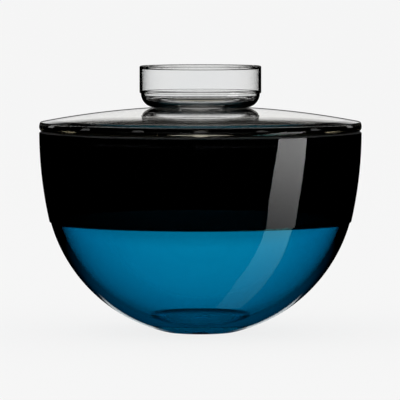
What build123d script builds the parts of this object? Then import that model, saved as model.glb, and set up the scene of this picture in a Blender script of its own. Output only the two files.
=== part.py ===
from build123d import *
from math import atan2, degrees, sqrt
import os

# A covered flower vessel of blown glass, in millimetres, standing on its foot at the origin with +Z up.
# The blue bowl and the black band are one wall, joined while hot. A clear domed cover rests loose on the
# band's ground mouth and carries a clear tube for the stems, made of a rounded dish and a lipped ring.

# Vessel wall
bowl_radius = 96.4
foot_radius = 21.0
seam_height = 68.5
mouth_flare = 3.6
mouth_height = 124.5
wall = 5.6
seam_step = 0.75
seam_round = 0.4
mouth_bevel = 0.8

# Thick base of the bowl
base_thickness = 9.2
floor_blend = 4.0
foot_bevel = 0.6
pontil_radius = 6.0
pontil_depth = 0.6

# Cover
rim_thickness = 5.9
rim_round = 2.9
dome_rise = 9.7
dome_wall = 5.0
ring_clearance = 0.5
ring_depth = 6.0
ring_wall = 3.5
ring_round = 1.2
under_round = 2.0
seat_width = 8.0
bore_round = 1.0

# Tube: the dish that stands on the cover, and the ring above it
dish_step = 0.85
dish_corner = 8.9
dish_height = 9.0
dish_wall = 2.0
dish_floor = 3.0
tube_radius = 37.75
tube_height = 17.0
tube_wall = 1.5
lip_width = 5.25
lip_thickness = 2.0
lip_round = 0.9
ledge_width = 4.15
ledge_thickness = 1.5
ledge_round = 0.5

# Places worked out from the sizes above
bowl_centre = sqrt(bowl_radius**2 - foot_radius**2)
inner_radius = bowl_radius - wall
seam_drop = bowl_centre - seam_height
seam_outer = sqrt(bowl_radius**2 - seam_drop**2)
seam_inner = sqrt(inner_radius**2 - seam_drop**2)
blend_height = base_thickness + floor_blend
floor_flat = sqrt((inner_radius - floor_blend) ** 2 - (bowl_centre - blend_height) ** 2)
mouth_radius = bowl_radius + mouth_flare
mouth_inner = mouth_radius - wall
rim_top = mouth_height + rim_thickness
apex_height = rim_top + dome_rise
dome_radius = (mouth_radius**2 + dome_rise**2) / (2 * dome_rise)
dome_centre = apex_height - dome_radius
dish_radius = tube_radius - dish_step
seat_radius = dish_radius - dish_corner
bore_radius = seat_radius - seat_width
lip_radius = tube_radius - lip_width
ledge_radius = tube_radius - ledge_width
seat_height = dome_centre + sqrt(dome_radius**2 - seat_radius**2)
ring_outer = mouth_inner - ring_clearance
ring_inner = ring_outer - ring_wall
dish_top = seat_height + dish_height
tube_top = dish_top + tube_height


def under_dome(radius):
    """Height of the dome's underside at a distance from the axis."""
    return dome_centre + sqrt((dome_radius - dome_wall) ** 2 - radius**2)


def nearest(vertices, radius, height):
    """The corner of a section nearest to a radius and a height."""
    corner = Vector(radius, height)
    return vertices.sort_by(lambda vertex: (Vector(*vertex) - corner).length)[0]


os.makedirs("parts", exist_ok=True)

# Blue bowl: most of a sphere, ground flat to stand, with a polished hollow where it left the iron. Inside,
# the round wall meets a thick level floor along a small blend, which shows from outside as a thin dark ring
with BuildPart() as blue_bowl:
    with BuildSketch(Plane.XZ) as bowl_section:
        with BuildLine():
            TangentArc((0, pontil_depth), (pontil_radius, 0), tangent=(1, 0))
            Line((pontil_radius, 0), (foot_radius, 0))
            foot_angle = degrees(atan2(-bowl_centre, foot_radius))
            seam_angle = degrees(atan2(-seam_drop, seam_outer))
            CenterArc((0, bowl_centre), bowl_radius, foot_angle, seam_angle - foot_angle)
            Line((seam_outer, seam_height), (seam_inner, seam_height))
            inner_angle = degrees(atan2(-seam_drop, seam_inner))
            blend_angle = degrees(atan2(blend_height - bowl_centre, floor_flat))
            CenterArc((0, bowl_centre), inner_radius, inner_angle, blend_angle - inner_angle)
            down_angle = degrees(atan2(-floor_blend, 0))
            CenterArc((floor_flat, blend_height), floor_blend, blend_angle, down_angle - blend_angle)
            Line((floor_flat, base_thickness), (0, base_thickness))
            Line((0, base_thickness), (0, pontil_depth))
        make_face()
        chamfer(nearest(bowl_section.vertices(), foot_radius, 0), foot_bevel)
    revolve(axis=Axis.Z)
blue_bowl.part.label = "blue_bowl"
export_step(blue_bowl.part, "parts/blue_bowl.step")

# Black band: the same wall carried on up, flaring until it is upright at the ground mouth
with BuildPart() as black_band:
    with BuildSketch(Plane.XZ) as band_section:
        with BuildLine():
            outside = TangentArc(
                (mouth_radius, mouth_height), (seam_outer + seam_step, seam_height), tangent=(0, -1)
            )
            inside = TangentArc((mouth_inner, mouth_height), (seam_inner, seam_height), tangent=(0, -1))
            Line(outside @ 0, inside @ 0)
            Line(outside @ 1, inside @ 1)
        make_face()
        mouth_corners = band_section.vertices().group_by(Axis.Y)[-1]
        chamfer(mouth_corners, mouth_bevel)
        fillet(nearest(band_section.vertices(), seam_outer + seam_step, seam_height), seam_round)
    revolve(axis=Axis.Z)
black_band.part.label = "black_band"
export_step(black_band.part, "parts/black_band.step")

# Clear cover: a shallow dome with a full round rim, a ring below that drops into the mouth, and a flat
# ground on top for the tube, bored through so that stems reach the bowl
with BuildPart() as clear_cover:
    with BuildSketch(Plane.XZ) as cover_section:
        with BuildLine():
            Line((ring_outer, mouth_height), (mouth_radius, mouth_height))
            Line((mouth_radius, mouth_height), (mouth_radius, rim_top))
            start_angle = degrees(atan2(rim_top - dome_centre, mouth_radius))
            seat_angle = degrees(atan2(seat_height - dome_centre, seat_radius))
            CenterArc((0, dome_centre), dome_radius, start_angle, seat_angle - start_angle)
            Line((seat_radius, seat_height), (bore_radius, seat_height))
            Line((bore_radius, seat_height), (bore_radius, under_dome(bore_radius)))
            bore_angle = degrees(atan2(under_dome(bore_radius) - dome_centre, bore_radius))
            ring_angle = degrees(atan2(under_dome(ring_inner) - dome_centre, ring_inner))
            CenterArc((0, dome_centre), dome_radius - dome_wall, bore_angle, ring_angle - bore_angle)
            ring_foot = mouth_height - ring_depth
            Polyline(
                (ring_inner, under_dome(ring_inner)),
                (ring_inner, ring_foot),
                (ring_outer, ring_foot),
                (ring_outer, mouth_height),
            )
        make_face()
        rim_corners = cover_section.vertices().group_by(Axis.X)[-1]
        fillet(rim_corners, rim_round)
        fillet(cover_section.vertices().group_by(Axis.Y)[0], ring_round)
        fillet(nearest(cover_section.vertices(), ring_inner, under_dome(ring_inner)), under_round)
        fillet(nearest(cover_section.vertices(), bore_radius, under_dome(bore_radius)), bore_round)
    revolve(axis=Axis.Z)
clear_cover.part.label = "clear_cover"
export_step(clear_cover.part, "parts/clear_cover.step")

# Tube dish: a thin rounded dish, fused by its flat floor to the flat on the cover
with BuildPart() as tube_dish:
    with BuildSketch(Plane.XZ) as dish_section:
        with BuildLine():
            Polyline(
                (bore_radius, seat_height),
                (dish_radius, seat_height),
                (dish_radius, dish_top),
                (dish_radius - dish_wall, dish_top),
                (dish_radius - dish_wall, seat_height + dish_floor),
                (bore_radius, seat_height + dish_floor),
                close=True,
            )
        make_face()
        fillet(nearest(dish_section.vertices(), dish_radius, seat_height), dish_corner)
        inner_floor = seat_height + dish_floor
        fillet(
            nearest(dish_section.vertices(), dish_radius - dish_wall, inner_floor),
            dish_corner - max(dish_wall, dish_floor),
        )
        fillet(nearest(dish_section.vertices(), bore_radius, inner_floor), bore_round)
    revolve(axis=Axis.Z)
tube_dish.part.label = "tube_dish"
export_step(tube_dish.part, "parts/tube_dish.step")

# Tube ring: an upright thin wall, turned in at the top as a lip and at the foot as a ledge
with BuildPart() as tube_ring:
    with BuildSketch(Plane.XZ) as ring_section:
        with BuildLine():
            tube_inner = tube_radius - tube_wall
            Polyline(
                (ledge_radius, dish_top),
                (tube_radius, dish_top),
                (tube_radius, tube_top),
                (lip_radius, tube_top),
                (lip_radius, tube_top - lip_thickness),
                (tube_inner, tube_top - lip_thickness),
                (tube_inner, dish_top + ledge_thickness),
                (ledge_radius, dish_top + ledge_thickness),
                close=True,
            )
        make_face()
        fillet(nearest(ring_section.vertices(), tube_radius, tube_top), lip_round)
        fillet(ring_section.vertices().group_by(Axis.X)[0], lip_round)
        fillet(nearest(ring_section.vertices(), tube_radius, dish_top), ledge_round)
        fillet(nearest(ring_section.vertices(), ledge_radius, dish_top + ledge_thickness), ledge_round)
    revolve(axis=Axis.Z)
tube_ring.part.label = "tube_ring"
export_step(tube_ring.part, "parts/tube_ring.step")
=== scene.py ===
# %% [markdown]
# A covered flower vessel of blown glass: a blue bowl and a black band in one wall, a clear domed cover
# that rests on the mouth, and a clear tube on the cover for the stems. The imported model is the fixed
# frame. It says where each piece is, and this script makes the glass around it.

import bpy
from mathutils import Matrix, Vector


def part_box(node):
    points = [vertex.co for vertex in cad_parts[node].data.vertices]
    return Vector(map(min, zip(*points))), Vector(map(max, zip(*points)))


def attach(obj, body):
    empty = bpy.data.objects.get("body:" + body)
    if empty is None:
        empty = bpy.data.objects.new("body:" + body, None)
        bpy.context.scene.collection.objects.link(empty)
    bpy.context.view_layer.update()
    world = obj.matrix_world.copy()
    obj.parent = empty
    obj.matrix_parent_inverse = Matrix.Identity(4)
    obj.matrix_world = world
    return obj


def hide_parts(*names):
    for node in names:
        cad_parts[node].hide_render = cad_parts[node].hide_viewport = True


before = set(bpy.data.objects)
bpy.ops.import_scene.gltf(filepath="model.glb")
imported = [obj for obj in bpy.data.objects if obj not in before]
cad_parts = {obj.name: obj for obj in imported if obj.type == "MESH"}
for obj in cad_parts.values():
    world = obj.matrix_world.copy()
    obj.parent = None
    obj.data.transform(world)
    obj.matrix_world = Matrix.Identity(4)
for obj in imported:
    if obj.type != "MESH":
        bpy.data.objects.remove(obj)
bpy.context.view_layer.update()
print("nodes:", sorted(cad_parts))

# %% [markdown]
# Blender works in metres. A glassmaker's sizes are easier to read in millimetres, so each is written as
# a number of millimetres. Places that a box can tell come from the frame, and only what it can't tell,
# such as the thickness of a wall, is written here again.

# %% Sizes of the vessel
from math import asin, atan2, cos, pi, radians, sin, sqrt, tau

import bmesh
import bpy
from mathutils import Vector

MM = 0.001


def reach_of(node):
    """How far a node reaches from the axis, and its lowest and highest level."""
    low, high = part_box(node)
    return high.x, low.z, high.z


seam_outer, _, seam_height = reach_of("blue_bowl")
mouth_radius, _, _ = reach_of("clear_cover")
_, _, mouth_height = reach_of("black_band")
dish_radius, seat_height, dish_top = reach_of("tube_dish")
tube_radius, _, tube_top = reach_of("tube_ring")

wall = 5.6 * MM
foot_radius = 21 * MM

# The bowl's outside is one sphere through the edge of the foot and the seam.
bowl_centre = (seam_outer**2 + seam_height**2 - foot_radius**2) / (2 * seam_height)
bowl_radius = sqrt(foot_radius**2 + bowl_centre**2)
print("bowl radius, mm:", round(bowl_radius / MM, 2), " whole height, mm:", round(tube_top / MM, 2))

# %% [markdown]
# Every piece was turned while hot, so every piece here is a section spun about the axis. A section is
# drawn as a chain of vertices in the XZ plane. Straight stretches are extruded, and round ones are spun
# about their own centre, because a spin keeps an arc true. Clear glass shows every flat, so the steps
# are short.

# %% Draw a section
STEP = 1.2 * MM
FEWEST_STEPS = 6


def start(x, z):
    """A new section with its first vertex."""
    bm = bmesh.new()
    return bm, bm.verts.new((x, 0, z))


def line(bm, vert, x, z):
    """Runs the section straight to (x, z)."""
    vert = bmesh.ops.extrude_vert_indiv(bm, verts=[vert])["verts"][0]
    vert.co = (x, 0, z)
    return vert


def arc(bm, vert, x, z, angle, steps=None):
    """Runs the section round the centre (x, z), anticlockwise where the angle is positive."""
    length = (vert.co - Vector((x, 0, z))).length * abs(angle)
    steps = steps or max(FEWEST_STEPS, round(length / STEP))
    made = bmesh.ops.spin(bm, geom=[vert], cent=(x, 0, z), axis=(0, -1, 0), angle=angle, steps=steps)
    return [item for item in made["geom_last"] if isinstance(item, bmesh.types.BMVert)][0]


print("a step is", round(STEP / MM, 2), "mm of a section")

# %% [markdown]
# A section's corners are rounded, or cut with one segment, by a vertex bevel. The vertex nearest to the
# named place is taken, after doubles are merged, so that the chain's two ends count as one corner.

# %% Round a section's corners
MERGE = 0.002 * MM


def soften(bm, corners, size, segments):
    """Rounds, or with one segment cuts, the section's corners nearest to the given places."""
    bmesh.ops.remove_doubles(bm, verts=bm.verts[:], dist=MERGE)
    found = [min(bm.verts, key=lambda v: (v.co - Vector((x, 0, z))).length) for x, z in corners]
    bmesh.ops.bevel(
        bm, geom=found, offset=size, segments=segments, profile=0.5, affect="VERTICES", material=-1
    )


print("vertices nearer than", round(MERGE / MM, 4), "mm are merged")

# %% [markdown]
# Turning the section makes the piece. Smooth shading blends the directions of neighbouring faces, and
# over a long face beside a rounded corner that would bend a flat wall into a lens. So long edges are
# halved first, until the blend stays within about a millimetre of the corner. Doubles are merged, so
# that the poles and the seam are closed, and the normals are then made to point out, because a ray of
# light has to know when it enters the glass. A ground corner stays sharp, and everything else is smooth,
# because blown glass has no facets.

# %% Turn a section into a piece
TURN_STEPS = 192
LONGEST_EDGE = 1.5 * STEP
SHARP = radians(35)


def halve_long_edges(bm, longest):
    """Halves the section's edges until none is longer."""
    while found := [edge for edge in bm.edges if edge.calc_length() > longest]:
        bmesh.ops.subdivide_edges(bm, edges=found, cuts=1)


def turn(name, bm, body, node, material):
    """Spins the section into a closed piece that stands for its CAD node."""
    halve_long_edges(bm, LONGEST_EDGE)
    bmesh.ops.spin(
        bm,
        geom=bm.verts[:] + bm.edges[:],
        cent=(0, 0, 0),
        axis=(0, 0, 1),
        angle=tau,
        steps=TURN_STEPS,
        use_merge=True,
    )
    bmesh.ops.remove_doubles(bm, verts=bm.verts[:], dist=MERGE)
    bmesh.ops.recalc_face_normals(bm, faces=bm.faces[:])
    for face in bm.faces:
        face.smooth = True
    for edge in bm.edges:
        edge.smooth = edge.calc_face_angle(0) < SHARP
    mesh = bpy.data.meshes.new(name)
    open_edges = sum(not edge.is_manifold for edge in bm.edges)
    volume = bm.calc_volume()
    bm.to_mesh(mesh)
    bm.free()
    piece = bpy.data.objects.new(name, mesh)
    bpy.context.scene.collection.objects.link(piece)
    mesh.materials.append(material)
    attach(piece, body)
    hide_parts(node)
    print(name, "faces", len(mesh.polygons), "open edges", open_edges, "cm3", round(volume * 1e6, 1))
    return piece


print("a turn has", TURN_STEPS, "steps")

# %% [markdown]
# Two small helpers serve every material and the studio. Colours are written as sRGB hex, as a colour
# chart gives them, and one function turns them linear. The other adds a node with its settings, its
# ramp's stops and its links. A stop is a place with a colour, or with a plain number for a grey of that
# brightness.

# %% Colours and nodes
def linear(text):
    """A colour written as sRGB hex, turned linear."""
    channels = [int(text[i : i + 2], 16) / 255 for i in (1, 3, 5)]
    return [c / 12.92 if c <= 0.04045 else ((c + 0.055) / 1.055) ** 2.4 for c in channels]


def add(tree, kind, links=(), stops=(), **settings):
    """Adds a node, sets its properties, sockets and stops, and links other nodes' outputs into it."""
    node = tree.nodes.new(kind)
    for name, value in settings.items():
        if hasattr(node, name):
            setattr(node, name, value)
        else:
            node.inputs[name.replace("_", " ")].default_value = value
    for number, (place, colour) in enumerate(stops):
        elements = node.color_ramp.elements
        element = elements[number] if number < 2 else elements.new(place)
        element.position = place
        element.color = (*(linear(colour) if isinstance(colour, str) else [colour] * 3), 1)
    for output, name in links:
        tree.links.new(output, node.inputs[name])
    return node


def empty_tree(owner):
    """The cleared node tree of a new material or world."""
    owner.use_nodes = True
    owner.node_tree.nodes.clear()
    return owner.node_tree


print("#F6F6F6 is", [round(c, 3) for c in linear("#F6F6F6")])

# %% [markdown]
# Blown soda glass is clear through its whole thickness, so its colour belongs in the volume: a long way
# through the wall is deeper than a short one, and the edges and the base darken by themselves. The
# surface has an IOR of 1.52. Fire polish leaves it mirror smooth, with only a very faint waviness from
# the blowing and a trace of tint that drifts over some centimetres. Where the glass was ground flat, at
# the foot and at the mouth, it is matt. Those places are found by their height in Object coordinates.

# %% Glass
WAVE = 45 * MM
DRIFT = 60 * MM
GROUND_ROUGHNESS = 0.7
TINT_FROM, TINT_TO = 0.3, 0.7


def glass(name, absorb, density, drift, wave_height, ground):
    """Clear or coloured glass, with a matt surface between the two levels in ground."""
    material = bpy.data.materials.new(name)
    tree = empty_tree(material)
    place = add(tree, "ShaderNodeTexCoord").outputs["Object"]
    waves = add(tree, "ShaderNodeTexNoise", [(place, "Vector")], Scale=1 / WAVE, Detail=1.0, Roughness=0.4)
    bump = add(tree, "ShaderNodeBump", [(waves.outputs["Fac"], "Height")], Distance=wave_height)
    patches = add(tree, "ShaderNodeTexNoise", [(place, "Vector")], Scale=1 / DRIFT, Detail=2.0)
    tint_stops = zip((TINT_FROM, TINT_TO), drift)
    tint = add(tree, "ShaderNodeValToRGB", [(patches.outputs["Fac"], "Fac")], stops=tint_stops)
    level = add(tree, "ShaderNodeSeparateXYZ", [(place, "Vector")]).outputs["Z"]
    matt = add(tree, "ShaderNodeMath", [(level, 0)], operation="COMPARE")
    matt.inputs[1].default_value = sum(ground) / 2
    matt.inputs[2].default_value = (ground[1] - ground[0]) / 2
    rough = add(tree, "ShaderNodeMath", [(matt.outputs[0], 0)], operation="MULTIPLY")
    rough.inputs[1].default_value = GROUND_ROUGHNESS
    surface = add(
        tree,
        "ShaderNodeBsdfPrincipled",
        [
            (bump.outputs["Normal"], "Normal"),
            (tint.outputs[0], "Base Color"),
            (rough.outputs[0], "Roughness"),
        ],
        IOR=1.52,
        Transmission_Weight=1.0,
    )
    body = add(tree, "ShaderNodeVolumeAbsorption", Color=(*linear(absorb), 1), Density=density)
    add(
        tree,
        "ShaderNodeOutputMaterial",
        [(surface.outputs["BSDF"], "Surface"), (body.outputs["Volume"], "Volume")],
    )
    return material


print("waves are", round(WAVE / MM), "mm long and tints drift over", round(DRIFT / MM), "mm")

# %% [markdown]
# The three glasses. Copper and cobalt make the blue, which takes out all red within a few millimetres.
# The black is so deep a violet grey that 5 mm of it lets almost nothing through. The clear glass has a
# little iron and manganese, so a long way through it looks faintly straw coloured. The number beside
# each colour says how strongly the glass takes out what the colour lacks, for each metre of the way.

# %% The three glasses
VESSEL_WAVE = 0.002 * MM
COVER_WAVE = 0.0005 * MM
GROUND_BAND = 0.3 * MM
REST_BAND = 0.1 * MM

blue_glass = glass(
    "blown blue glass", "#16EAF4", 670, ("#F6FCFF", "#FFFFFF"), VESSEL_WAVE, (-GROUND_BAND, GROUND_BAND)
)
black_glass = glass(
    "blown black glass", "#26263F", 900, ("#F4F4FF", "#FFFFFF"), VESSEL_WAVE,
    (mouth_height - GROUND_BAND, mouth_height + GROUND_BAND),
)
clear_glass = glass(
    "blown clear glass", "#FDFBF4", 42, ("#FDFEFF", "#FFFFFF"), COVER_WAVE,
    (mouth_height - REST_BAND, mouth_height + REST_BAND),
)
print("glasses:", [m.name for m in (blue_glass, black_glass, clear_glass)])

# %% [markdown]
# The blue bowl is most of a sphere, 5.6 mm thick, ground flat to stand. A shallow polished hollow is
# left where it came off the iron. Inside, the round wall meets a thick level floor along a small round,
# and that is the thin dark ring that shows through the blue. Pieces that touch are kept a hundredth of a
# millimetre apart, so that a ray never meets two surfaces in one place.

# %% Blue bowl
GAP = 0.01 * MM
base_thickness = 9.2 * MM
floor_blend = 4 * MM
foot_bevel = 0.6 * MM
pontil_radius = 6 * MM
pontil_depth = 0.6 * MM


def blue_bowl():
    inner = bowl_radius - wall
    drop = bowl_centre - seam_height
    seam_inner = sqrt(inner**2 - drop**2)
    top = seam_height - GAP
    hollow = (pontil_radius**2 + pontil_depth**2) / (2 * pontil_depth)
    bm, vert = start(0, pontil_depth)
    vert = arc(bm, vert, 0, pontil_depth - hollow, -asin(pontil_radius / hollow))
    vert = line(bm, vert, foot_radius, 0)
    foot_angle = atan2(-bowl_centre, foot_radius)
    vert = arc(bm, vert, 0, bowl_centre, atan2(-drop, seam_outer) - foot_angle)
    vert.co.z = top
    vert = line(bm, vert, seam_inner, top)
    blend_height = base_thickness + floor_blend
    floor_flat = sqrt((inner - floor_blend) ** 2 - (bowl_centre - blend_height) ** 2)
    blend_angle = atan2(blend_height - bowl_centre, floor_flat)
    vert = arc(bm, vert, 0, bowl_centre, blend_angle - atan2(-drop, seam_inner))
    vert = arc(bm, vert, floor_flat, blend_height, -pi / 2 - blend_angle, steps=12)
    line(bm, vert, 0, base_thickness)
    soften(bm, [(foot_radius, 0)], foot_bevel, 1)
    return turn("blue_bowl_glass", bm, "vessel", "blue_bowl", blue_glass)


blue_bowl()

# %% [markdown]
# The black band carries the same wall on, out of black glass joined to the blue while hot. Outside and
# inside are each one arc that is upright at the mouth. The band stands a hair proud of the blue at the
# seam, which draws the fine line there, and its mouth is ground flat with a small cut bevel on both
# sides.

# %% Black band
seam_step = 0.75 * MM
seam_round = 0.4 * MM
mouth_bevel = 0.8 * MM


def upright_arc(radius, seam_radius):
    """Radius of the arc that is upright at the mouth and ends at the seam."""
    flare = radius - seam_radius
    height = mouth_height - seam_height
    return (height**2 + flare**2) / (2 * flare)


def black_band():
    seam_inner = sqrt((bowl_radius - wall) ** 2 - (bowl_centre - seam_height) ** 2)
    seam_edge = seam_outer + seam_step
    mouth_inner = mouth_radius - wall
    height = mouth_height - seam_height
    outer = upright_arc(mouth_radius, seam_edge)
    inner = upright_arc(mouth_inner, seam_inner)
    bm, vert = start(mouth_radius, mouth_height)
    vert = arc(bm, vert, mouth_radius - outer, mouth_height, -asin(height / outer))
    vert = line(bm, vert, seam_inner, seam_height)
    vert = arc(bm, vert, mouth_inner - inner, mouth_height, asin(height / inner))
    line(bm, vert, mouth_radius, mouth_height)
    soften(bm, [(mouth_radius, mouth_height), (mouth_inner, mouth_height)], mouth_bevel, 1)
    soften(bm, [(seam_edge, seam_height)], seam_round, 4)
    return turn("black_band_glass", bm, "vessel", "black_band", black_glass)


black_band()

# %% [markdown]
# The cover is a clear dome with a full round rim. A ring under it drops into the mouth and keeps it
# centred. Its top is ground to a flat for the tube, with a hole through which the stems go down. The
# dome's arc is found from two places: the rim's top and the edge of the flat.

# %% Clear cover
rim_thickness = 5.9 * MM
rim_round = 2.9 * MM
dome_wall = 5 * MM
ring_clearance = 0.5 * MM
ring_depth = 6 * MM
ring_wall = 3.5 * MM
ring_round = 1.2 * MM
under_round = 2 * MM
bore_round = 1 * MM
seat_width = 8 * MM
dish_corner = 8.9 * MM
rim_top = mouth_height + rim_thickness
seat_radius = dish_radius - dish_corner
bore_radius = seat_radius - seat_width


def clear_cover():
    rise = seat_height - rim_top
    centre = (seat_radius**2 + seat_height**2 - mouth_radius**2 - rim_top**2) / (2 * rise)
    radius = sqrt(mouth_radius**2 + (rim_top - centre) ** 2)
    under = radius - dome_wall
    ring_outer = mouth_radius - wall - ring_clearance
    ring_inner = ring_outer - ring_wall
    ring_foot = mouth_height - ring_depth
    rest = mouth_height + GAP
    ring_under = centre + sqrt(under**2 - ring_inner**2)
    bore_under = centre + sqrt(under**2 - bore_radius**2)
    bm, vert = start(ring_outer, rest)
    vert = line(bm, vert, mouth_radius, rest)
    vert = line(bm, vert, mouth_radius, rim_top)
    rim_angle = atan2(rim_top - centre, mouth_radius)
    vert = arc(bm, vert, 0, centre, atan2(seat_height - centre, seat_radius) - rim_angle)
    vert = line(bm, vert, bore_radius, seat_height)
    vert = line(bm, vert, bore_radius, bore_under)
    bore_angle = atan2(bore_under - centre, bore_radius)
    vert = arc(bm, vert, 0, centre, atan2(ring_under - centre, ring_inner) - bore_angle)
    vert = line(bm, vert, ring_inner, ring_foot)
    vert = line(bm, vert, ring_outer, ring_foot)
    line(bm, vert, ring_outer, rest)
    soften(bm, [(mouth_radius, rest), (mouth_radius, rim_top)], rim_round, 12)
    soften(bm, [(ring_inner, ring_foot), (ring_outer, ring_foot)], ring_round, 6)
    soften(bm, [(ring_inner, ring_under)], under_round, 8)
    soften(bm, [(bore_radius, bore_under)], bore_round, 6)
    return turn("clear_cover_glass", bm, "cover", "clear_cover", clear_glass)


clear_cover()

# %% [markdown]
# The tube was made in two pieces. The lower one is a thin dish with a big round corner, fused by its
# flat floor to the flat on the cover. The round corner is what draws the inward curve under the tube.

# %% Tube dish
dish_wall = 2 * MM
dish_floor = 3 * MM


def tube_dish():
    inner = dish_radius - dish_wall
    floor = seat_height + dish_floor
    inner_corner = dish_corner - dish_floor
    rest = seat_height + GAP
    bm, vert = start(bore_radius, rest)
    vert = line(bm, vert, dish_radius - dish_corner, rest)
    vert = arc(bm, vert, dish_radius - dish_corner, rest + dish_corner, pi / 2, steps=20)
    vert = line(bm, vert, dish_radius, dish_top)
    vert = line(bm, vert, inner, dish_top)
    vert = line(bm, vert, inner, floor + inner_corner)
    vert = arc(bm, vert, inner - inner_corner, floor + inner_corner, -pi / 2, steps=16)
    vert = line(bm, vert, bore_radius, floor)
    line(bm, vert, bore_radius, rest)
    soften(bm, [(bore_radius, floor)], bore_round, 6)
    return turn("tube_dish_glass", bm, "cover", "tube_dish", clear_glass)


tube_dish()

# %% [markdown]
# The upper piece is a thin upright ring. Its top was turned in as a lip, which keeps the stems from the
# edge, and its foot as a ledge, which gives the joint with the dish some width.

# %% Tube ring
tube_wall = 1.5 * MM
lip_width = 5.25 * MM
lip_thickness = 2 * MM
lip_round = 0.9 * MM
ledge_width = 4.15 * MM
ledge_thickness = 1.5 * MM
ledge_round = 0.5 * MM


def tube_ring():
    inner = tube_radius - tube_wall
    lip = tube_radius - lip_width
    ledge = tube_radius - ledge_width
    rest = dish_top + GAP
    bm, vert = start(ledge, rest)
    vert = line(bm, vert, tube_radius, rest)
    vert = line(bm, vert, tube_radius, tube_top)
    vert = line(bm, vert, lip, tube_top)
    vert = line(bm, vert, lip, tube_top - lip_thickness)
    vert = line(bm, vert, inner, tube_top - lip_thickness)
    vert = line(bm, vert, inner, dish_top + ledge_thickness)
    vert = line(bm, vert, ledge, dish_top + ledge_thickness)
    line(bm, vert, ledge, rest)
    soften(bm, [(tube_radius, tube_top), (lip, tube_top), (lip, tube_top - lip_thickness)], lip_round, 8)
    soften(bm, [(tube_radius, rest), (ledge, dish_top + ledge_thickness)], ledge_round, 5)
    return turn("tube_ring_glass", bm, "cover", "tube_ring", clear_glass)


tube_ring()

# %% [markdown]
# The camera looks down by a little more than three degrees from two and a half metres, which is what the
# flat ovals of the mouth and the seam ask for. Its lens follows from the size of a pixel at the axis.

# %% Camera
photo_side = 400
pixel = 0.6212 * MM
look_down = radians(3.32)
distance = 2.42
axis_pixel = 200.4
aim_height = 81.9 * MM
sensor = 36
farthest = 100
aim = Vector(((photo_side / 2 - axis_pixel) * pixel, 0, aim_height))
lens = bpy.data.cameras.new("camera")
lens.sensor_width = sensor
lens.sensor_fit = "HORIZONTAL"
lens.lens = sensor * distance / (photo_side * pixel)
lens.clip_end = farthest
camera = bpy.data.objects.new("camera", lens)
camera.location = aim + Vector((0, -cos(look_down), sin(look_down))) * distance
camera.rotation_euler = (pi / 2 - look_down, 0, 0)
bpy.context.scene.collection.objects.link(camera)
bpy.context.scene.camera = camera
print("lens, mm:", round(lens.lens, 1))

# %% [markdown]
# Glass is photographed in a bright field: a pale backdrop shows straight through it, and the rest of the
# room is dark, so that what the glass mirrors is dark and its edges draw black lines. Light Path tells
# the two apart, from every side. A ray that has been mirrored, outside or inside the glass, has a Glossy
# Depth, and one that went straight on has none. Both are told where they go by their direction: how many
# degrees they rise, and how far round they point.

# %% Directions in the studio
PALE = "#F6F6F6"
DARK = "#0A0908"


def in_degrees(stops):
    """A ramp's stops with their places turned from degrees to radians, for a ramp that reads an angle."""
    return [(radians(place), colour) for place, colour in stops]


world = bpy.data.worlds.new("studio")
bpy.context.scene.world = world
tree = empty_tree(world)
toward = add(tree, "ShaderNodeTexCoord").outputs["Generated"]
parts = add(tree, "ShaderNodeSeparateXYZ", [(toward, "Vector")]).outputs
rise = add(tree, "ShaderNodeMath", [(parts["Z"], 0)], operation="ARCSINE").outputs[0]
compass = add(tree, "ShaderNodeMath", [(parts["X"], 0), (parts["Y"], 1)], operation="ARCTAN2").outputs[0]
print("pale", PALE, "and dark", DARK)

# %% [markdown]
# What the glass mirrors is eight narrow pale panels in a ring around the table, one for each eighth of a
# turn. They stand on the table's far edge, are a few times as tall as they are wide, and fade out about
# 20 degrees up. They whiten the cover's dome and leave its rim dark, as in the photograph. A weak ring
# of light overhead draws fine lines on the rim. A panel is found by folding the compass into one eighth
# of a turn and measuring how far the ray points from the panel's foot.

# %% What the glass mirrors
EIGHTH = tau / 8
SLIMNESS = 3.9
PANEL_FADE = [(16.7, PALE), (17.6, 0.62), (19, 0.5), (19.8, 0.12), (20.8, DARK)]
TABLE_EDGE = [(1.7, DARK), (4.6, "#FFFFFF")]
OVERHEAD = [(40, 0), (50, 0.35), (56, 0.35)]

# A Mix node has sockets for every kind of value. These are the ones for colours.
COLOUR_A, COLOUR_B, COLOUR_OUT = 6, 7, 2

aside = add(tree, "ShaderNodeMath", [(compass, 0)], operation="PINGPONG")
aside.inputs[1].default_value = EIGHTH / 2
slim = add(tree, "ShaderNodeMath", [(aside.outputs[0], 0)], operation="MULTIPLY")
slim.inputs[1].default_value = SLIMNESS
from_foot = add(tree, "ShaderNodeCombineXYZ", [(slim.outputs[0], "X"), (rise, "Y")]).outputs[0]
reach = add(tree, "ShaderNodeVectorMath", [(from_foot, 0)], operation="LENGTH").outputs["Value"]
panels = add(tree, "ShaderNodeValToRGB", [(reach, "Fac")], stops=in_degrees(PANEL_FADE)).outputs[0]
table_edge = add(tree, "ShaderNodeValToRGB", [(rise, "Fac")], stops=in_degrees(TABLE_EDGE)).outputs[0]
overhead = add(tree, "ShaderNodeValToRGB", [(rise, "Fac")], stops=in_degrees(OVERHEAD)).outputs[0]
standing = add(
    tree, "ShaderNodeMix", [(table_edge, COLOUR_A), (panels, COLOUR_B)],
    data_type="RGBA", blend_type="MULTIPLY", Factor=1.0,
).outputs[COLOUR_OUT]
mirrored_room = add(
    tree, "ShaderNodeMix", [(standing, COLOUR_A), (overhead, COLOUR_B)],
    data_type="RGBA", blend_type="LIGHTEN", Factor=1.0,
).outputs[COLOUR_OUT]
print("panels:", round(tau / EIGHTH))

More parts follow.
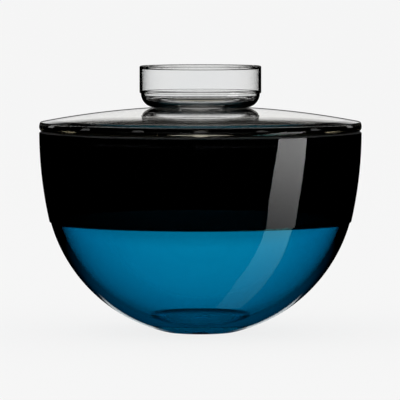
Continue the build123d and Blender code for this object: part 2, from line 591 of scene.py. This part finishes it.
# %% [markdown]
# Straight through the glass there is only one dark thing, a thin gap in the pale backdrop a few degrees
# above the table's far edge, which the cover's dome and rim bend into view. A ray that has met no glass
# sees the backdrop alone.

# %% What shows through the glass
BACKDROP_GAP = [(2.0, PALE), (2.3, DARK), (4.5, DARK), (5.3, PALE)]
backdrop = add(tree, "ShaderNodeValToRGB", [(rise, "Fac")], stops=in_degrees(BACKDROP_GAP)).outputs[0]
path = add(tree, "ShaderNodeLightPath").outputs
mirrored = add(tree, "ShaderNodeMath", [(path["Glossy Depth"], 0)], operation="GREATER_THAN").outputs[0]
inside = add(tree, "ShaderNodeMath", [(path["Transmission Depth"], 0)], operation="GREATER_THAN").outputs[0]
ahead = add(tree, "ShaderNodeMix", [(inside, 0), (backdrop, COLOUR_B)], data_type="RGBA")
ahead.inputs[COLOUR_A].default_value = (*linear(PALE), 1)
seen = add(
    tree,
    "ShaderNodeMix",
    [(mirrored, 0), (ahead.outputs[COLOUR_OUT], COLOUR_A), (mirrored_room, COLOUR_B)],
    data_type="RGBA",
).outputs[COLOUR_OUT]
background = add(tree, "ShaderNodeBackground", [(seen, "Color")]).outputs[0]
add(tree, "ShaderNodeOutputWorld", [(background, "Surface")])
print("world nodes:", len(tree.nodes))

# %% [markdown]
# The floor is a wide round of pale paper. It lies a tenth of a millimetre low, because a foot never
# touches paper all over, and because two surfaces in one place would flicker.

# %% Floor
FLOOR_DROP = 0.1 * MM
FLOOR_RADIUS = 60

floor_mesh = bpy.data.meshes.new("floor")
bm = bmesh.new()
bmesh.ops.create_circle(bm, cap_ends=True, segments=96, radius=FLOOR_RADIUS)
bmesh.ops.translate(bm, vec=(0, 0, -FLOOR_DROP), verts=bm.verts[:])
bm.to_mesh(floor_mesh)
bm.free()
floor = bpy.data.objects.new("floor", floor_mesh)
bpy.context.scene.collection.objects.link(floor)
print("floor, m across:", 2 * FLOOR_RADIUS)

# %% [markdown]
# Seen with no glass before it, the paper is mostly lit by itself, so that it is as pale as the backdrop,
# with enough plain paint in it to keep a soft shadow. Straight through the glass it carries painted shade:
# it is painted darker where it is seen steeply, for the vessel's shadow around its foot, and again in a
# band some way behind the bowl. So the blue is brightest in its middle and darkens towards the foot and
# the seam. Layer Weight tells the slant, and the Object coordinates tell how far off the axis is.

# %% Paper, plain and through the glass
GLOW_SHARE = 0.9
# Painted shade on the paper seen through the glass: darker where seen steeply, for the vessel's shadow, and
# in a band behind the bowl.
SLANT_PAINTED_SHADE = [(0.45, 0.11), (0.55, 0.18), (0.66, 0.43), (0.76, 0.69), (0.83, 0.77), (0.91, PALE)]
BEHIND_PAINTED_SHADE = [(0.55, 0.95), (0.68, 0.72), (0.8, 0.7), (0.95, 0.92), (0.99, 1)]

paper = bpy.data.materials.new("pale paper")
floor_mesh.materials.append(paper)
tree = empty_tree(paper)
paint = add(tree, "ShaderNodeBsdfDiffuse", Color=(*linear(PALE), 1)).outputs[0]
glow = add(tree, "ShaderNodeEmission", Color=(*linear(PALE), 1)).outputs[0]
plain = add(tree, "ShaderNodeMixShader", [(paint, 1), (glow, 2)], Fac=GLOW_SHARE).outputs[0]

place = add(tree, "ShaderNodeTexCoord").outputs["Object"]
away = add(tree, "ShaderNodeVectorMath", [(place, 0)], operation="LENGTH").outputs["Value"]
slant = add(tree, "ShaderNodeLayerWeight", Blend=0.5).outputs["Facing"]
# The painted shade by slant and by distance from the axis, which only rays through the glass see.
slant_painted_shade = add(tree, "ShaderNodeValToRGB", [(slant, "Fac")], stops=SLANT_PAINTED_SHADE).outputs[0]
behind_painted_shade = add(tree, "ShaderNodeValToRGB", [(away, "Fac")], stops=BEHIND_PAINTED_SHADE).outputs[0]
through_with_painted_shade = add(
    tree, "ShaderNodeEmission", [(slant_painted_shade, "Color"), (behind_painted_shade, "Strength")]
).outputs[0]
print("paper glows by", GLOW_SHARE)

# %% [markdown]
# In what the outside of the glass mirrors, the paper carries a painted pool of light: a small pale round
# under the vessel that shows only at a shallow angle, with painted shadow in its middle under the foot.
# That gives the light fringe along the bottom of the bowl and leaves the blue above it pure. Rays that
# bounce about inside the glass meet a bright spot under the foot, which lights the foot's edge, and only
# a little light around it. Steep rays don't see it, so that the clear tube stays colourless.

# %% Paper in what the glass mirrors
# Painted pool of light on the paper for the glass to mirror, dark inside 26 mm as a painted shadow under
# the foot.
FRINGE_PAINTED_LIGHT = [(0.026, 0), (0.031, "#E9F3F6"), (0.08, "#E9F3F6"), (0.092, 0)]
SHALLOW = [(0.62, 0), (0.67, 1)]
UNDER_FOOT = [(0.021, "#6CFFB4"), (0.023, 0.06), (0.1, 0.03), (0.15, 0.01), (0.25, 0)]
FOOT_LIGHT = 4.8
STEEP_FROM, STEEP_TO = 0.25, 0.4

# The painted pool of light and its painted shadow, shown only at a shallow angle.
fringe_painted_light = add(tree, "ShaderNodeValToRGB", [(away, "Fac")], stops=FRINGE_PAINTED_LIGHT).outputs[0]
shallow = add(tree, "ShaderNodeValToRGB", [(slant, "Fac")], stops=SHALLOW).outputs[0]
fringe = add(tree, "ShaderNodeEmission", [(fringe_painted_light, "Color"), (shallow, "Strength")]).outputs[0]
foot_level = add(tree, "ShaderNodeValToRGB", [(away, "Fac")], stops=UNDER_FOOT).outputs[0]
not_steep = add(
    tree,
    "ShaderNodeMapRange",
    [(slant, "Value")],
    From_Min=STEEP_FROM,
    From_Max=STEEP_TO,
    To_Max=FOOT_LIGHT,
).outputs[0]
inner = add(tree, "ShaderNodeEmission", [(foot_level, "Color"), (not_steep, "Strength")]).outputs[0]
print("fringe, mm from the axis:", round(FRINGE_PAINTED_LIGHT[1][0] / MM), "to", round(FRINGE_PAINTED_LIGHT[2][0] / MM))

# %% [markdown]
# Two questions choose between these four: has the ray been mirrored, and has it been in the glass?

# %% Which paper a ray sees
path = add(tree, "ShaderNodeLightPath").outputs
mirrored = add(tree, "ShaderNodeMath", [(path["Glossy Depth"], 0)], operation="GREATER_THAN").outputs[0]
inside = add(tree, "ShaderNodeMath", [(path["Transmission Depth"], 0)], operation="GREATER_THAN").outputs[0]
straight = add(tree, "ShaderNodeMixShader", [(inside, 0), (plain, 1), (through_with_painted_shade, 2)]).outputs[0]
bounced = add(tree, "ShaderNodeMixShader", [(inside, 0), (fringe, 1), (inner, 2)]).outputs[0]
seen = add(tree, "ShaderNodeMixShader", [(mirrored, 0), (straight, 1), (bounced, 2)]).outputs[0]
add(tree, "ShaderNodeOutputMaterial", [(seen, "Surface")])
print("paper nodes:", len(tree.nodes))

# %% [markdown]
# One long light card gives the bowl and the band their single clean highlight. It lies along the table,
# starts beside the foot and widens away to the right. It could be one plane, but the highlight bends
# with the bowl, so each place along the card is as far off and as wide as that bend asks. Each pair
# gives the card's two edges at one place, in millimetres from the axis.

# %% Light card
CARD_EDGES = [
    ((11, -55), (30, -47)),
    ((35, -80), (64, -60)),
    ((114, -137), (159, -91)),
    ((246, -245), (342, -133)),
    ((493, -413), (655, -188)),
    ((2667, -1776), (2912, -516)),
]

bm = bmesh.new()
ends = [bm.verts.new((x * MM, y * MM, 0)) for x, y in CARD_EDGES[0]]
edge = bm.edges.new(ends)
for pair in CARD_EDGES[1:]:
    made = bmesh.ops.extrude_edge_only(bm, edges=[edge])["geom"]
    edge = [item for item in made if isinstance(item, bmesh.types.BMEdge)][0]
    nearest = sorted(edge.verts, key=lambda v: (v.co - ends[0].co).length)
    for vert, (x, y) in zip(nearest, pair):
        vert.co = (x * MM, y * MM, 0)
    ends = nearest
card_mesh = bpy.data.meshes.new("light_card")
bm.to_mesh(card_mesh)
bm.free()
card = bpy.data.objects.new("light_card", card_mesh)
bpy.context.scene.collection.objects.link(card)
card.visible_camera = False
card.visible_diffuse = False
card.visible_transmission = False
card.visible_shadow = False
print("card faces:", len(card_mesh.polygons))

# %% [markdown]
# The card fades towards the foot: its light is its distance squared, over that plus a fixed fade
# squared. Only rays that the outside of the glass mirrors may see it, so it lights nothing else. On real
# blue glass the back of the wall mirrors a card a second time, through the blue. The card's near end,
# which the blue mirrors, is tinted for that, and the far end, which the black mirrors, is white.

# %% The card's light
CARD_STRENGTH = 12.0
CARD_FADE = 0.4
CARD_TINT = [(0.2, "#9CFFFF"), (0.225, 0.333)]

lit = bpy.data.materials.new("light card")
card_mesh.materials.append(lit)
tree = empty_tree(lit)
path = add(tree, "ShaderNodeLightPath").outputs
inside = add(tree, "ShaderNodeMath", [(path["Transmission Depth"], 0)], operation="GREATER_THAN").outputs[0]
place = add(tree, "ShaderNodeTexCoord").outputs["Object"]
square = add(tree, "ShaderNodeVectorMath", [(place, 0), (place, 1)], operation="DOT_PRODUCT")
square = square.outputs["Value"]
wider = add(tree, "ShaderNodeMath", [(square, 0)], operation="ADD")
wider.inputs[1].default_value = CARD_FADE**2
share = add(tree, "ShaderNodeMath", [(square, 0), (wider.outputs[0], 1)], operation="DIVIDE").outputs[0]
level = add(tree, "ShaderNodeMath", [(share, 0)], operation="MULTIPLY")
level.inputs[1].default_value = CARD_STRENGTH
tint = add(tree, "ShaderNodeValToRGB", [(share, "Fac")], stops=CARD_TINT).outputs[0]
shine = add(tree, "ShaderNodeEmission", [(tint, "Color"), (level.outputs[0], "Strength")]).outputs[0]
nothing = add(tree, "ShaderNodeBsdfTransparent").outputs[0]
seen = add(tree, "ShaderNodeMixShader", [(inside, 0), (shine, 1), (nothing, 2)]).outputs[0]
add(tree, "ShaderNodeOutputMaterial", [(seen, "Surface")])
print("card light nodes:", len(tree.nodes))

# %% [markdown]
# A soft lamp overhead gives the paper its shadow. It is large and weak, because the world already lights
# the scene at a plain level. It isn't mirrored, because the real vessel shows only the one highlight.

# %% Lamp
LAMP_SIZE = 1.5
LAMP_POWER = 4
lamp_place = Vector((-0.5, -0.3, 1.8))

lamp_data = bpy.data.lights.new("overhead", "AREA")
lamp_data.size = LAMP_SIZE
lamp_data.energy = LAMP_POWER
lamp = bpy.data.objects.new("overhead", lamp_data)
lamp.location = lamp_place
lamp.rotation_euler = (-lamp_place).to_track_quat("-Z", "Y").to_euler()
lamp.visible_glossy = False
lamp.visible_transmission = False
bpy.context.scene.collection.objects.link(lamp)
print("lamp, m across:", LAMP_SIZE, " power, W:", LAMP_POWER)

# %% [markdown]
# The colours should come out as they were written, so the view transform is Standard.

# %% View
bpy.context.scene.view_settings.view_transform = "Standard"
